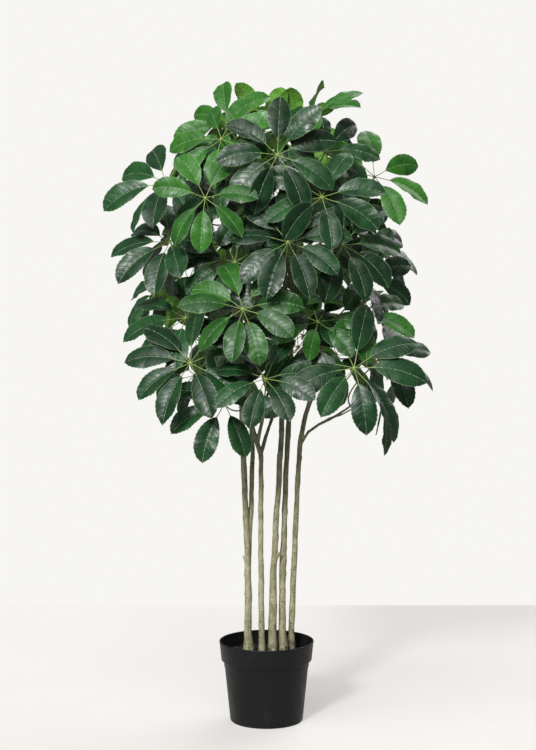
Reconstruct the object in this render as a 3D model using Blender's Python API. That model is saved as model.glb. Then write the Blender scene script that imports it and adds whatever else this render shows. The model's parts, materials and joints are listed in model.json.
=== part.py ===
"""Potted umbrella plant: five bare stems in a black nursery pot, carrying about fifty umbrella leaves.

Metres, +Z up, the front of the plant towards -Y. The origin is the centre of the pot's base.
Each stem with its boughs is one node, and so is each leaf with its leafstalk, its hub and its leaflets.
"""

import itertools
import math

import bmesh
import bpy
from mathutils import Matrix, Vector, noise
from mathutils.bvhtree import BVHTree

# Pot: a tapered nursery pot with a deep collar, standing on its flat base.
POT_HEIGHT = 0.186
RIM_RADIUS = 0.109
BASE_RADIUS = 0.0838
COLLAR_DEPTH = 0.0445
COLLAR_STEP = 0.0055
COLLAR_TAPER = 0.0045
POT_WALL = 0.0025
POT_SIDES = 40
DRAIN_COUNT = 6
DRAIN_RADIUS = 0.005
DRAIN_RING = 0.052

# Potting mix: fills the pot to 30 mm below the rim and keeps clear of its wall.
SOIL_LEVEL = POT_HEIGHT - 0.030
SOIL_CROWN = 0.006
SOIL_LUMP = 0.0022
GAP = 0.0004
STEM_FOOT = 0.085

# Leaves. Span is the length of a leafstalk's leaflets from the hub to the tip.
HUB_RADIUS = 0.0036
HUB_HEIGHT = 0.0050
STALK_SHARE = 0.23
BLADE_WIDTH = 0.46
BLADE_DEPTH = 0.0026
STALK_HALF = 0.0011
LEAFSTALK_RADIUS = 0.0021
LEAFSTALK_LENGTH = 0.135
CUP_ANGLE = math.radians(9)
DROOP = math.radians(40)
STRAY = math.radians(18)
ROLL = math.radians(26)
# Share of the blade's length, and its width there as a share of the widest.
BLADE_STATIONS = ((0.0, 0.12), (0.42, 0.92), (0.80, 0.84), (1.0, 0.0))
KEEP_CLEAR = 0.0028

DARK, BRIGHT = "leaf_dark", "leaf_bright"

# Where each stem is thicker than its taper: (height, share of the radius, reach up and down).
SWELLS = {
    "stem_left": [(0.156, 0.32, 0.024), (0.288, 0.16, 0.020), (0.200, 0.08, 0.060)],
    "stem_inner_left": [(0.156, 0.12, 0.024)],
    "stem_middle": [(0.156, 0.20, 0.024), (0.235, 0.26, 0.085)],
    "stem_inner_right": [(0.156, 0.42, 0.024), (0.374, 0.22, 0.022), (0.250, 0.18, 0.090)],
    "stem_right": [(0.156, 0.18, 0.024)],
}

# Each stem: the radii at its foot and tip with the points of its trunk, then the same for its boughs.
STEMS = {
    "stem_left": [
        (0.0084, 0.0042, [(-0.042, 0.000, STEM_FOOT), (-0.042, 0.001, 0.17), (-0.0425, 0.000, 0.27),
                          (-0.0425, 0.000, 0.37), (-0.0465, -0.002, 0.447), (-0.0492, -0.004, 0.503),
                          (-0.0505, -0.008, 0.57),
                          (-0.0545, -0.012, 0.66), (-0.058, -0.016, 0.76), (-0.062, -0.012, 0.88),
                          (-0.074, -0.008, 0.99), (-0.092, -0.012, 1.10), (-0.100, -0.018, 1.18)]),
        (0.0066, 0.0034, [(-0.0415, 0.002, 0.350), (-0.0390, 0.004, 0.447), (-0.0352, 0.006, 0.503),
                          (-0.0338, 0.010, 0.56), (-0.0315, 0.018, 0.63), (-0.036, 0.036, 0.69), (-0.052, 0.066, 0.76), (-0.070, 0.100, 0.86),
                          (-0.080, 0.125, 0.95)]),
        (0.0042, 0.0028, [(-0.058, -0.016, 0.76), (-0.090, -0.020, 0.79), (-0.118, -0.026, 0.83)]),
        (0.0042, 0.0028, [(-0.063, -0.012, 0.90), (-0.100, -0.002, 0.94), (-0.138, 0.004, 1.00)]),
        (0.0042, 0.0028, [(-0.080, -0.010, 1.02), (-0.108, -0.038, 1.06), (-0.128, -0.060, 1.11)]),
        (0.0032, 0.0018, [(-0.041, 0.000, 0.348), (-0.0535, -0.004, 0.383)]),
    ],
    "stem_inner_left": [
        (0.0069, 0.0044, [(-0.010, -0.028, STEM_FOOT), (-0.010, -0.028, 0.17), (-0.012, -0.028, 0.27),
                          (-0.013, -0.026, 0.45), (-0.013, -0.025, 0.62), (-0.024, -0.032, 0.655),
                          (-0.037, -0.042, 0.70), (-0.046, -0.052, 0.77), (-0.052, -0.066, 0.86),
                          (-0.058, -0.082, 0.95), (-0.062, -0.092, 1.03)]),
        (0.0046, 0.0029, [(-0.021, -0.030, 0.646), (-0.010, -0.045, 0.70), (-0.001, -0.072, 0.74),
                          (0.002, -0.105, 0.765)]),
        (0.0044, 0.0028, [(-0.013, -0.025, 0.622), (-0.002, -0.018, 0.66), (0.012, 0.000, 0.70),
                          (0.020, 0.024, 0.75), (0.024, 0.050, 0.81)]),
        (0.0038, 0.0027, [(-0.048, -0.056, 0.80), (-0.078, -0.074, 0.82), (-0.108, -0.095, 0.85)]),
    ],
    "stem_middle": [
        (0.0082, 0.0042, [(0.014, -0.008, STEM_FOOT), (0.014, -0.008, 0.17), (0.014, -0.008, 0.27),
                          (0.020, -0.006, 0.42), (0.029, -0.002, 0.57), (0.036, 0.000, 0.71),
                          (0.039, 0.000, 0.86), (0.042, -0.004, 1.00), (0.043, -0.008, 1.12),
                          (0.034, -0.014, 1.21), (0.020, -0.024, 1.28)]),
        (0.0044, 0.0028, [(0.040, 0.000, 0.90), (0.018, -0.034, 0.95), (0.002, -0.070, 1.00),
                          (-0.006, -0.105, 1.04)]),
        (0.0044, 0.0028, [(0.043, -0.006, 1.05), (0.006, 0.006, 1.10), (-0.032, 0.012, 1.15),
                          (-0.052, 0.016, 1.21), (-0.056, 0.018, 1.27)]),
        (0.0040, 0.0027, [(0.037, -0.012, 1.18), (0.010, -0.052, 1.19), (-0.022, -0.084, 1.22)]),
        (0.0042, 0.0028, [(0.038, 0.000, 0.80), (0.024, 0.052, 0.87), (0.006, 0.100, 0.94)]),
        (0.0034, 0.0028, [(0.018, -0.007, 0.362), (0.0305, -0.012, 0.394)]),
    ],
    "stem_inner_right": [
        (0.0074, 0.0044, [(0.040, 0.008, STEM_FOOT), (0.038, 0.008, 0.17), (0.036, 0.010, 0.27),
                          (0.040, 0.016, 0.42), (0.045, 0.024, 0.57), (0.052, 0.028, 0.71),
                          (0.057, 0.031, 0.86), (0.060, 0.034, 1.00), (0.066, 0.036, 1.12),
                          (0.078, 0.036, 1.21), (0.088, 0.030, 1.28)]),
        (0.0044, 0.0028, [(0.058, 0.032, 0.92), (0.084, 0.000, 0.97), (0.104, -0.040, 1.01),
                          (0.118, -0.080, 1.05)]),
        (0.0044, 0.0028, [(0.063, 0.035, 1.06), (0.100, 0.026, 1.10), (0.138, 0.016, 1.14),
                          (0.166, 0.008, 1.19)]),
        (0.0044, 0.0028, [(0.060, 0.034, 1.01), (0.044, 0.080, 1.06), (0.024, 0.114, 1.12),
                          (0.010, 0.124, 1.19)]),
        (0.0042, 0.0028, [(0.056, 0.030, 0.80), (0.088, 0.064, 0.86), (0.116, 0.096, 0.93)]),
        (0.0038, 0.0027, [(0.070, 0.036, 1.15), (0.090, -0.010, 1.18), (0.104, -0.056, 1.20)]),
    ],
    "stem_right": [
        (0.0075, 0.0040, [(0.0565, 0.034, STEM_FOOT), (0.0575, 0.034, 0.19), (0.0605, 0.034, 0.27),
                          (0.067, 0.032, 0.42), (0.072, 0.028, 0.54), (0.079, 0.022, 0.65),
                          (0.090, 0.016, 0.71), (0.108, 0.008, 0.765), (0.122, 0.000, 0.84),
                          (0.136, -0.006, 0.93), (0.150, -0.010, 1.02), (0.160, -0.014, 1.09)]),
        (0.0036, 0.0025, [(0.080, 0.021, 0.640), (0.096, 0.016, 0.668), (0.120, 0.010, 0.686),
                          (0.158, 0.002, 0.706), (0.192, -0.006, 0.730)]),
        (0.0040, 0.0027, [(0.112, 0.006, 0.78), (0.132, -0.040, 0.80), (0.146, -0.085, 0.82)]),
        (0.0040, 0.0027, [(0.128, -0.003, 0.88), (0.164, 0.004, 0.90), (0.196, 0.006, 0.92)]),
        (0.0040, 0.0027, [(0.143, -0.008, 0.97), (0.152, 0.036, 1.01), (0.162, 0.076, 1.06)]),
    ],
}

# Each leaf: its hub, the way it faces (turn from the front towards +X, then tilt up), its span, its
# number of leaflets, the first leaflet's angle about the hub, and its tone.
LEAVES = {
    "crown": [
        (-0.100, -0.100, 1.330, -30, 34, 0.128, 7, 180, BRIGHT),
        (-0.088, -0.030, 1.366, -12, 22, 0.122, 8, 98, BRIGHT),
        (-0.012, 0.060, 1.362, 176, 28, 0.118, 7, 70, BRIGHT),
        (0.072, 0.056, 1.358, 160, 26, 0.112, 7, 88, BRIGHT),
        (0.100, -0.030, 1.380, -60, 55, 0.138, 7, 22, BRIGHT),
        (0.131, -0.100, 1.303, 18, 30, 0.124, 8, 44, DARK),
        (-0.093, -0.130, 1.262, -16, 34, 0.112, 7, 60, DARK),
        (0.024, -0.040, 1.350, 0, 66, 0.116, 8, 10, DARK),
    ],
    "front": [
        (0.024, -0.200, 1.289, 2, 20, 0.138, 9, 95, DARK),
        (-0.131, -0.220, 1.196, -8, 26, 0.122, 7, 68, BRIGHT),
        (0.119, -0.220, 1.198, 8, 30, 0.138, 8, 12, DARK),
        (0.046, -0.250, 1.102, 0, 34, 0.136, 9, 10, DARK),
        (-0.068, -0.180, 1.060, -14, 34, 0.130, 8, 30, DARK),
        (-0.050, -0.270, 0.960, -4, 28, 0.134, 9, 14, BRIGHT),
        (0.112, -0.185, 0.930, 12, 48, 0.118, 7, 50, BRIGHT),
        (0.165, -0.200, 1.096, 20, 26, 0.142, 9, 0, DARK),
        (0.070, -0.130, 0.872, 12, 34, 0.128, 8, 0, DARK),
        (0.188, -0.240, 0.833, 6, 28, 0.152, 9, -3, DARK),
        (-0.002, -0.270, 0.812, -2, 40, 0.124, 8, 25, DARK),
        (-0.030, -0.120, 1.172, -8, 36, 0.122, 8, 5, DARK),
    ],
    "left": [
        (-0.225, -0.060, 1.236, -25, 45, 0.150, 9, 160, DARK),
        (-0.214, -0.110, 1.104, -30, 42, 0.142, 9, 190, DARK),
        (-0.180, -0.100, 0.936, -28, 44, 0.146, 8, 200, DARK),
        (-0.165, -0.200, 0.841, -20, 34, 0.148, 9, 178, DARK),
        (-0.092, -0.190, 0.752, -14, 26, 0.132, 7, 0, DARK),
        (-0.245, 0.050, 1.000, -62, 30, 0.130, 8, 0, DARK),
        (-0.172, 0.060, 1.285, -76, 46, 0.128, 7, 0, BRIGHT),
        (-0.165, 0.010, 0.800, -56, 38, 0.134, 8, 30, DARK),
        (-0.170, 0.140, 0.880, -130, 28, 0.134, 8, 0, DARK),
        (-0.212, 0.060, 1.128, -88, 36, 0.130, 8, 10, DARK),
    ],
    "right": [
        (0.245, 0.000, 1.252, 20, 40, 0.142, 7, 80, BRIGHT),
        (0.242, 0.040, 1.104, 46, 36, 0.134, 8, 10, DARK),
        (0.205, -0.140, 0.948, 20, 46, 0.132, 7, 15, BRIGHT),
        (0.258, -0.080, 0.850, 30, 38, 0.138, 8, 12, DARK),
        (0.262, 0.020, 0.752, 74, 12, 0.132, 7, 0, DARK),
        (0.235, 0.110, 0.955, 96, 30, 0.134, 8, 0, DARK),
        (0.205, 0.120, 1.195, 118, 34, 0.132, 8, 20, DARK),
        (0.165, 0.150, 0.840, 138, 24, 0.130, 8, 0, DARK),
        (0.225, -0.080, 1.020, 40, 26, 0.128, 8, 22, DARK),
        (0.236, 0.085, 0.852, 92, 32, 0.126, 7, 15, DARK),
        (0.205, 0.010, 1.150, 84, 38, 0.116, 7, 32, DARK),
    ],
    "back": [
        (0.000, 0.260, 1.020, 180, 32, 0.142, 9, 0, DARK),
        (-0.120, 0.215, 1.120, -158, 30, 0.138, 8, 10, DARK),
        (0.130, 0.225, 1.105, 160, 28, 0.138, 8, 20, DARK),
        (0.018, 0.220, 1.235, 176, 36, 0.142, 9, 0, DARK),
        (-0.068, 0.240, 0.895, -170, 30, 0.136, 8, 5, DARK),
        (0.088, 0.240, 0.880, 164, 30, 0.134, 8, 10, BRIGHT),
        (-0.186, 0.166, 1.015, -138, 28, 0.130, 8, 12, BRIGHT),
        (-0.036, 0.180, 0.806, -176, 24, 0.126, 8, 0, DARK),
        (0.130, 0.140, 1.300, 146, 40, 0.128, 7, 0, DARK),
        (-0.100, 0.140, 1.295, -150, 42, 0.126, 7, 25, DARK),
    ],
}

NOISE_SEED = 3  # fixes how the leaflets stray from a regular star

COLOURS = {
    "pot_plastic": (0.012, 0.012, 0.013),
    "potting_mix": (0.020, 0.014, 0.010),
    "stem_bark": (0.230, 0.220, 0.130),
    DARK: (0.020, 0.075, 0.030),
    BRIGHT: (0.040, 0.160, 0.030),
}
ROUGHNESS = {"pot_plastic": 0.50, "potting_mix": 0.95, "stem_bark": 0.80, DARK: 0.38, BRIGHT: 0.40}


def clear_scene():
    for thing in list(bpy.data.objects):
        bpy.data.objects.remove(thing, do_unlink=True)


def finish(slot):
    material = bpy.data.materials.get(slot)
    if material is None:
        material = bpy.data.materials.new(slot)
        material.use_nodes = True
        shader = material.node_tree.nodes["Principled BSDF"]
        shader.inputs["Base Color"].default_value = (*COLOURS[slot], 1.0)
        shader.inputs["Roughness"].default_value = ROUGHNESS[slot]
    return material


def add_object(name, shape, slot, place=(0, 0, 0), smooth=True):
    """Makes an object of a shape drawn in place, with the object's origin at the given point."""
    mesh = bpy.data.meshes.new(name)
    bmesh.ops.translate(shape, verts=shape.verts, vec=-Vector(place))
    shape.to_mesh(mesh)
    shape.free()
    if smooth:
        mesh.shade_smooth()
        mesh.set_sharp_from_angle(angle=math.radians(40))
    mesh.materials.append(finish(slot))
    thing = bpy.data.objects.new(name, mesh)
    thing.location = place
    bpy.context.scene.collection.objects.link(thing)
    return thing


def add_helper(name, shape, slot):
    """A cutter or an arm that a Boolean uses, and that isn't a piece itself."""
    thing = add_object(name, shape, slot)
    thing.hide_render = True
    thing.display_type = "WIRE"
    return thing


def combine(thing, other, operation):
    modifier = thing.modifiers.new(other.name, "BOOLEAN")
    modifier.operation = operation
    modifier.solver = "EXACT"
    modifier.object = other


# ---------------------------------------------------------------- shapes


def lathe(profile, sides, height=lambda x, y, z: z):
    """A turned solid. The profile runs from the axis, up and over, and back to the axis."""
    shape = bmesh.new()
    rings = []
    for radius, z in profile:
        count = 1 if radius == 0 else sides
        turns = [2 * math.pi * i / sides for i in range(count)]
        places = [(radius * math.cos(a), radius * math.sin(a)) for a in turns]
        rings.append([shape.verts.new((x, y, height(x, y, z))) for x, y in places])
    for upper, lower in itertools.pairwise(rings):
        for i in range(sides):
            j = (i + 1) % sides
            corners = [upper[i % len(upper)], upper[j % len(upper)], lower[j % len(lower)], lower[i % len(lower)]]
            shape.faces.new(dict.fromkeys(corners))
    bmesh.ops.recalc_face_normals(shape, faces=shape.faces)
    return shape


def smooth_path(points, spacing):
    """Points along a Catmull-Rom curve through the given ones, with their share of its length."""
    points = [Vector(p) for p in points]
    ends = [2 * points[0] - points[1], *points, 2 * points[-1] - points[-2]]
    path = [points[0]]
    for a, b, c, d in zip(ends, ends[1:], ends[2:], ends[3:]):
        steps = max(1, round((c - b).length / spacing))
        for i in range(1, steps + 1):
            t = i / steps
            path.append(0.5 * (2 * b + (c - a) * t + (2 * a - 5 * b + 4 * c - d) * t**2
                               + (3 * b - a - 3 * c + d) * t**3))
    lengths = list(itertools.accumulate((q - p).length for p, q in itertools.pairwise(path)))
    return path, [0.0, *(length / lengths[-1] for length in lengths)]


def tangents(path):
    before, after = [path[0], *path[:-1]], [*path[1:], path[-1]]
    return [(b - a).normalized() for a, b in zip(before, after)]


def tube(path, radii, sides):
    """A closed round bar along a path."""
    shape = bmesh.new()
    rings, across = [], Vector((1, 0, 0))
    for point, along, radius in zip(path, tangents(path), radii):
        across = (across - across.dot(along) * along).normalized()
        other = along.cross(across)
        turns = [2 * math.pi * i / sides for i in range(sides)]
        rings.append([shape.verts.new(point + radius * (math.cos(a) * across + math.sin(a) * other)) for a in turns])
    for low, high in itertools.pairwise(rings):
        for i in range(sides):
            j = (i + 1) % sides
            shape.faces.new((low[i], low[j], high[j], high[i]))
    shape.faces.new(reversed(rings[0]))
    shape.faces.new(rings[-1])
    return shape


def tree_of(shape):
    """A search tree of a shape, with a ball that holds it."""
    corners = [v.co.copy() for v in shape.verts]
    centre = sum(corners, Vector()) / len(corners)
    reach = max((c - centre).length for c in corners)
    return BVHTree.FromBMesh(shape), centre, reach


def touches(first, second):
    near = (first[1] - second[1]).length < first[2] + second[2]
    return near and bool(first[0].overlap(second[0]))


# ---------------------------------------------------------------- pot and potting mix


def wall_radius(z):
    """Outer radius of the tapered wall, under the collar."""
    shoulder = RIM_RADIUS - COLLAR_TAPER - COLLAR_STEP
    return BASE_RADIUS + (shoulder - BASE_RADIUS) * z / (POT_HEIGHT - COLLAR_DEPTH)


def add_pot():
    seat = POT_HEIGHT - COLLAR_DEPTH
    bead = seat - 0.016
    floor = POT_WALL
    inner = RIM_RADIUS - POT_WALL
    collar = RIM_RADIUS - COLLAR_TAPER
    profile = [
        (0, floor),
        (wall_radius(floor) - POT_WALL, floor),
        (wall_radius(seat) - POT_WALL, seat - 0.001),
        (collar - POT_WALL, seat + 0.0025),
        (inner, POT_HEIGHT - 0.002),
        (inner + 0.0008, POT_HEIGHT),
        (RIM_RADIUS - 0.0006, POT_HEIGHT),
        (RIM_RADIUS, POT_HEIGHT - 0.002),
        (collar, seat + 0.0015),
        (collar - 0.0015, seat),
        (wall_radius(seat), seat - 0.001),
        (wall_radius(bead) + 0.0003, bead + 0.0015),
        (wall_radius(bead) - 0.0006, bead),
        (wall_radius(0.003), 0.003),
        (BASE_RADIUS - 0.002, 0.0),
        (0, 0.0),
    ]
    pot = add_object("pot", lathe(profile, POT_SIDES), "pot_plastic")
    for i in range(DRAIN_COUNT):
        angle = 2 * math.pi * (i + 0.5) / DRAIN_COUNT
        place = Vector((DRAIN_RING * math.cos(angle), DRAIN_RING * math.sin(angle), -floor))
        ends = [place, place + Vector((0, 0, 3 * floor))]
        combine(pot, add_helper(f"drain_{i + 1}", tube(ends, [DRAIN_RADIUS] * 2, 10), "pot_plastic"), "DIFFERENCE")


def soil_height(x, y, z):
    """Lifts the middle of the potting mix a little and makes its top lumpy."""
    if z < SOIL_LEVEL:
        return z
    out = math.hypot(x, y) / RIM_RADIUS
    lump = noise.noise(Vector((x, y, 0)) * 55)
    return z + SOIL_CROWN * (1 - out**2) + SOIL_LUMP * lump


def add_soil(stems):
    seat = POT_HEIGHT - COLLAR_DEPTH
    floor = POT_WALL + GAP
    wall = POT_WALL + GAP
    collar = RIM_RADIUS - COLLAR_TAPER - wall
    top = collar + (RIM_RADIUS - wall - collar) * (SOIL_LEVEL - seat) / COLLAR_DEPTH - GAP
    profile = [
        (0, floor),
        (wall_radius(floor) - wall - GAP, floor),
        (wall_radius(seat) - wall - GAP, seat - 0.001),
        (collar - GAP, seat + 0.0035),
        (top, SOIL_LEVEL),
        *((top * share, SOIL_LEVEL) for share in (0.85, 0.68, 0.5, 0.3)),
        (0, SOIL_LEVEL),
    ]
    soil = add_object("potting_mix", lathe(profile, 30, soil_height), "potting_mix")
    for name, (path, radii) in stems.items():
        path = [path[0] - Vector((0, 0, 2 * GAP)), *path[1:]]
        hole = tube(path, [radius + GAP for radius in radii], 8)
        combine(soil, add_helper(f"{name}_hole", hole, "potting_mix"), "DIFFERENCE")


# ---------------------------------------------------------------- stems


def stem_radius(height, share, foot, tip, swells):
    """Tapers to the tip, and swells at its knots and where it meets the soil."""
    swell = sum(amount * math.exp(-(((height - level) / reach) ** 2)) for level, amount, reach in swells)
    return (foot + (tip - foot) * share) * (1 + swell)


def stem_tubes():
    """Each stem's trunk and boughs as (path, radii, sides)."""
    tubes = {}
    for name, arms in STEMS.items():
        tubes[name] = []
        for i, (foot, tip, points) in enumerate(arms):
            path, shares = smooth_path(points, 0.045)
            radii = [stem_radius(p.z, s, foot, tip, SWELLS[name]) for p, s in zip(path, shares)]
            tubes[name].append((path, radii, 8 if i == 0 else 6))
    return tubes


def add_stems(tubes):
    for name, arms in tubes.items():
        stem = add_object(name, tube(*arms[0]), "stem_bark", arms[0][0][0])
        for i, arm in enumerate(arms[1:]):
            combine(stem, add_helper(f"{name}_bough_{i + 1}", tube(*arm), "stem_bark"), "UNION")


def leaf_bases(tubes):
    """Where leafstalks can leave the stems: (point on the centreline, radius, way the stem runs)."""
    bases = []
    for arms in tubes.values():
        for path, radii, _ in arms:
            for point, radius, along in list(zip(path, radii, tangents(path)))[1:]:
                if point.z > 0.66:
                    bases.append((point, radius, along))
    return bases


# ---------------------------------------------------------------- leaves


class Leaflet:
    """One leaflet: a straight stalk, then a blade that arches down to its tip."""

    def __init__(self, root, along, face, span, roll):
        self.root = root
        self.stalk = span * STALK_SHARE
        self.blade = span - self.stalk
        self.width = self.blade * BLADE_WIDTH
        sag = -0.55 * face - 0.85 * Vector((0, 0, 1))
        hinge = along.cross(sag)
        droop = DROOP * min(1.0, hinge.length)
        hinge.normalize()
        spot = root + along * self.stalk
        self.stations = []
        previous = 0.0
        for share, width in BLADE_STATIONS:
            middle = Matrix.Rotation(droop * (share + previous) / 2, 3, hinge) @ along
            spot = spot + middle * self.blade * (share - previous)
            heading = Matrix.Rotation(droop * share, 3, hinge) @ along
            side = Matrix.Rotation(roll, 3, heading) @ heading.cross(face).normalized()
            self.stations.append((spot, side, side.cross(heading), width * self.width / 2))
            previous = share
        self.tip = spot

    def sections(self, spare=0.0):
        """Left edge, right edge and keel at each station but the tip."""
        found = []
        for spot, side, face, half in self.stations[:-1]:
            half = max(half, STALK_HALF * 1.3) + spare
            depth = min(BLADE_DEPTH, half) + spare
            found.append((spot - side * half, spot + side * half, spot - face * depth, spot + face * spare))
        return found

    def guard(self, spare):
        """A search tree of a fuller shape that keeps others clear of this leaflet."""
        shape = bmesh.new()
        _, side, face, _ = self.stations[0]
        thin = STALK_HALF + spare
        start = self.root + (self.stations[0][0] - self.root) * 0.12
        root = (start - side * thin, start + side * thin, start - face * thin, start + face * thin)
        rings = [root, *self.sections(spare)]
        rings = [[shape.verts.new(p) for p in (left, top, right, keel)] for left, right, keel, top in rings]
        tip = shape.verts.new(self.tip + (self.tip - self.stations[-2][0]).normalized() * spare)
        shape.faces.new(rings[0])
        for near, far in itertools.pairwise(rings):
            for i in range(4):
                shape.faces.new((near[i], near[(i + 1) % 4], far[(i + 1) % 4], far[i]))
        for i in range(4):
            shape.faces.new((rings[-1][i], rings[-1][(i + 1) % 4], tip))
        return tree_of(shape)


class Leaf:
    """An umbrella leaf: the places of its leafstalk, its hub and its leaflets."""

    def __init__(self, name, row):
        x, y, z, turn, tilt, self.span, self.count, self.first, self.slot = row
        self.name = name
        self.hub = Vector((x, y, z))
        turn, tilt = math.radians(turn), math.radians(tilt)
        self.axis = Vector((math.sin(turn) * math.cos(tilt), -math.cos(turn) * math.cos(tilt), math.sin(tilt)))
        self.right = Vector((math.cos(turn), math.sin(turn), 0))
        self.up = self.axis.cross(self.right)
        self.leafstalk = []
        self.leaflets = []

    def ray(self, angle):
        return math.cos(angle) * self.right + math.sin(angle) * self.up

    def corners(self):
        """The hub's upper and lower corners. A leaflet grows between two upper corners and a lower one."""
        step = 2 * math.pi / self.count
        first = math.radians(self.first)
        lift = self.axis * HUB_HEIGHT / 2
        upper = [self.hub + lift + HUB_RADIUS * self.ray(first + (i - 0.5) * step) for i in range(self.count)]
        lower = [self.hub - lift + HUB_RADIUS * self.ray(first + i * step) for i in range(self.count)]
        return upper, lower

    def hub_guard(self):
        ends = [self.hub - self.axis * HUB_HEIGHT, self.hub + self.axis * HUB_HEIGHT]
        return tree_of(tube(ends, [HUB_RADIUS * 2] * 2, 6))

    def leaflet(self, i, turn, lift, scale):
        """Leaflet i, each a little off the regular star, turned, lifted and scaled as asked."""
        angle = math.radians(self.first) + 2 * math.pi * i / self.count
        wander = noise.noise_vector(self.hub * 40 + Vector((i * 1.7, 0, 0)))
        ray = self.ray(angle + turn + STRAY * wander.x)
        cup = CUP_ANGLE + lift + STRAY * wander.y
        along = math.cos(cup) * ray + math.sin(cup) * self.axis
        span = self.span * scale * (1 + 0.12 * wander.z)
        return Leaflet(self.hub + self.ray(angle) * HUB_RADIUS, along, self.axis, span, ROLL * (wander.x - wander.z))


def plan_leafstalk(leaf, bases, placed):
    """Picks the nearest free place on a stem, and curves the leafstalk from there into the back of the hub."""

    def cost(base):
        point, _, _ = base
        reach = leaf.hub - point
        slope = reach.normalized().dot(leaf.axis)
        return abs(reach.length - LEAFSTALK_LENGTH) + 0.05 * (1 - slope) + 0.10 * max(0.0, point.z - leaf.hub.z)

    back = leaf.hub - leaf.axis * HUB_HEIGHT / 2
    for base in sorted(bases, key=cost):
        point, radius, along = base
        reach = back - point
        out = (reach - 0.9 * reach.dot(along) * along).normalized()
        start = point + out * (radius * 1.25 + 0.0012)
        pull = reach.length / 3
        handles = (start, start + out * pull, back - leaf.axis * pull, back)
        path = [bezier(handles, i / 3) for i in range(4)]
        guard = tree_of(tube([start + (path[1] - start) * 0.08, *path[1:]], [LEAFSTALK_RADIUS + 0.002] * 4, 5))
        if not any(touches(guard, other) for other in placed):
            leaf.leafstalk = path
            bases.remove(base)
            return tree_of(tube(path, [LEAFSTALK_RADIUS] * 4, 5))
    raise RuntimeError(f"{leaf.name}: no leafstalk reaches this hub")


def bezier(handles, t):
    a, b, c, d = handles
    return (1 - t) ** 3 * a + 3 * (1 - t) ** 2 * t * b + 3 * (1 - t) * t**2 * c + t**3 * d


def leaflet_choices():
    """Ways a leaflet can give way to its neighbours, the smallest first: turn, lift and scale."""
    turns = [math.radians(t) for t in (0, 7, -7, 14, -14)]
    lifts = [math.radians(t) for t in (0, 12, -12, 24, -24, 38, -38)]
    scales = (1.0, 0.88, 0.76, 0.64)
    choices = itertools.product(turns, lifts, scales)
    return sorted(choices, key=lambda c: abs(c[0]) * 1.2 + abs(c[1]) + (1 - c[2]) * 1.6)


def plan_leaves(tubes):
    """Places every leafstalk, then every leaflet, each clear of what is there before it."""
    noise.seed_set(NOISE_SEED)
    leaves = []
    for region, rows in LEAVES.items():
        leaves += [Leaf(f"leaf_{region}_{i + 1:02d}", row) for i, row in enumerate(rows)]
    hubs = {leaf.name: leaf.hub_guard() for leaf in leaves}
    placed = [tree_of(tube(*arm)) for arms in tubes.values() for arm in arms]
    bases = leaf_bases(tubes)
    for leaf in leaves:
        others = [hub for name, hub in hubs.items() if name != leaf.name]
        placed.append(plan_leafstalk(leaf, bases, placed + others))
    choices = leaflet_choices()
    for leaf in leaves:
        others = placed + [hub for name, hub in hubs.items() if name != leaf.name]
        for i in range(leaf.count):
            fitting = (leaf.leaflet(i, *choice) for choice in choices)
            found = next((x for x in fitting if not any(touches(x.guard(KEEP_CLEAR), o) for o in others)), None)
            leaf.leaflets.append(found)
            if found:
                solid = found.guard(0.0002)
                others.append(solid)
                placed.append(solid)
    return leaves


def grow(shape, face, corners):
    """Extrudes one face and moves its corners to the given places."""
    face = bmesh.ops.extrude_discrete_faces(shape, faces=[face])["faces"][0]
    for vert, corner in zip(face.verts, corners):
        vert.co = corner
    return face


def add_leaf(leaf):
    shape = bmesh.new()
    upper, lower = leaf.corners()
    upper = [shape.verts.new(p) for p in upper]
    lower = [shape.verts.new(p) for p in lower]
    count = leaf.count
    shape.faces.new(upper)
    root = shape.faces.new(reversed(lower))
    for i in range(count):
        shape.faces.new((lower[i], lower[(i + 1) % count], upper[(i + 1) % count]))
    for i, leaflet in enumerate(leaf.leaflets):
        face = shape.faces.new((upper[i], lower[i], upper[(i + 1) % count]))
        if leaflet is None:
            continue
        for left, right, keel, _ in leaflet.sections():
            face = grow(shape, face, (right, keel, left))
        tip = bmesh.ops.poke(shape, faces=[face])["verts"][0]
        tip.co = leaflet.tip
    centres = list(reversed(leaf.leafstalk))[1:]
    spokes = [v.co - (leaf.hub - leaf.axis * HUB_HEIGHT / 2) for v in root.verts]
    turned = leaf.axis
    for centre, along in zip(centres, tangents([leaf.hub, *centres])[1:]):
        bend = turned.rotation_difference(-along)
        spokes = [bend @ spoke for spoke in spokes]
        turned = -along
        root = grow(shape, root, [centre + spoke.normalized() * LEAFSTALK_RADIUS for spoke in spokes])
    add_object(leaf.name, shape, leaf.slot, leaf.hub, smooth=False)


def main():
    clear_scene()
    add_pot()
    tubes = stem_tubes()
    add_stems(tubes)
    add_soil({name: (arms[0][0][:4], arms[0][1][:4]) for name, arms in tubes.items()})
    for leaf in plan_leaves(tubes):
        add_leaf(leaf)


main()
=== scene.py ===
"""Potted umbrella plant, dressed: toothed leaves, bark, pot and potting mix made around its plain solids.

Metres, +Z up, the front of the plant towards -Y. The leaves and stems follow their plain solids, and the
pot and the mix take their heights and outer radii from theirs.
"""

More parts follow.
